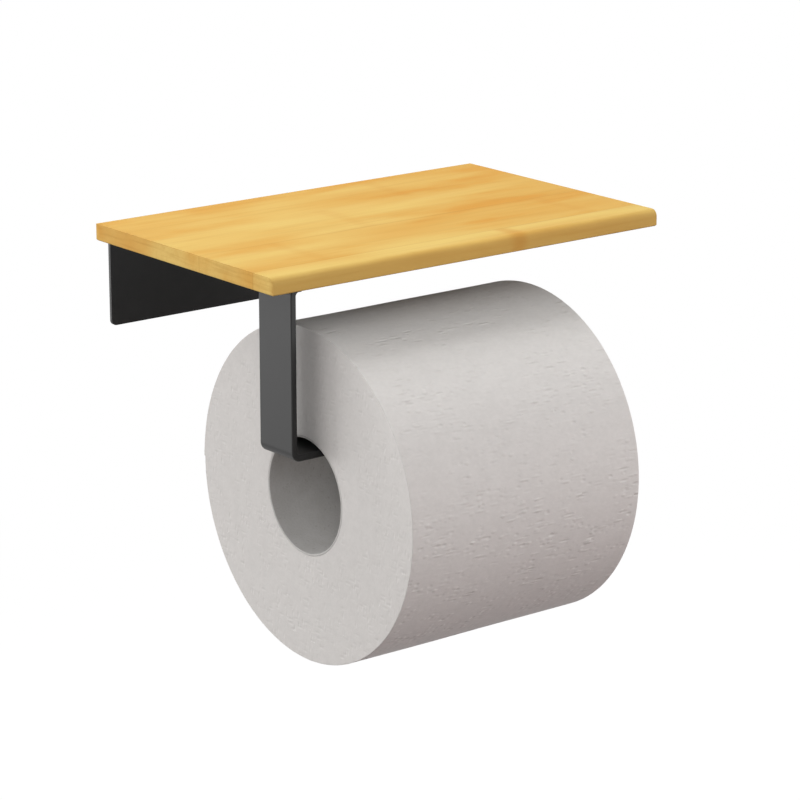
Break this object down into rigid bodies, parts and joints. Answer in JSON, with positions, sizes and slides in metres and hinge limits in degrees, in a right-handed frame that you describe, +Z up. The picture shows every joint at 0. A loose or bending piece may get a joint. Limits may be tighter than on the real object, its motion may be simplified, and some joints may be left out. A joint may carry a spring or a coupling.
{
  "type": "toilet paper holder",
  "caption": "Wall-mounted toilet paper holder: a thin wooden shelf on a folded steel bracket, with a bent flat bar below it that carries a paper roll from one side.",
  "frame": {"origin": "on the wall, midway between the two wall holes of the bracket", "axes": "+X to the right along the wall, towards the bar's open end; +Y into the wall; +Z up"},
  "size_m": [0.17, 0.1491, 0.1419],
  "materials": {
    "bamboo": "satin",
    "black_coat": "matte",
    "screw_steel": "satin",
    "core_board": "matte",
    "tissue": "matte"
  },
  "bodies": {
    "holder": {"shelf_board": "bamboo", "wall_bracket": "black_coat", "roll_arm": "black_coat", "bracket_screws": "screw_steel", "arm_screws": "screw_steel"},
    "core": {"roll_core": "core_board"},
    "paper": {"paper_roll": "tissue"}
  },
  "joints": [
    {"name": "roll_slide", "type": "slide", "parent": "holder", "child": "core", "axis": [1, 0, 0], "range_m": [-0.0089, 0.105]},
    {"name": "roll_spin", "type": "hinge", "parent": "core", "child": "paper", "pos_m": [0, -0.0898, -0.06463], "axis": [1, 0, 0], "continuous": true}
  ]
}
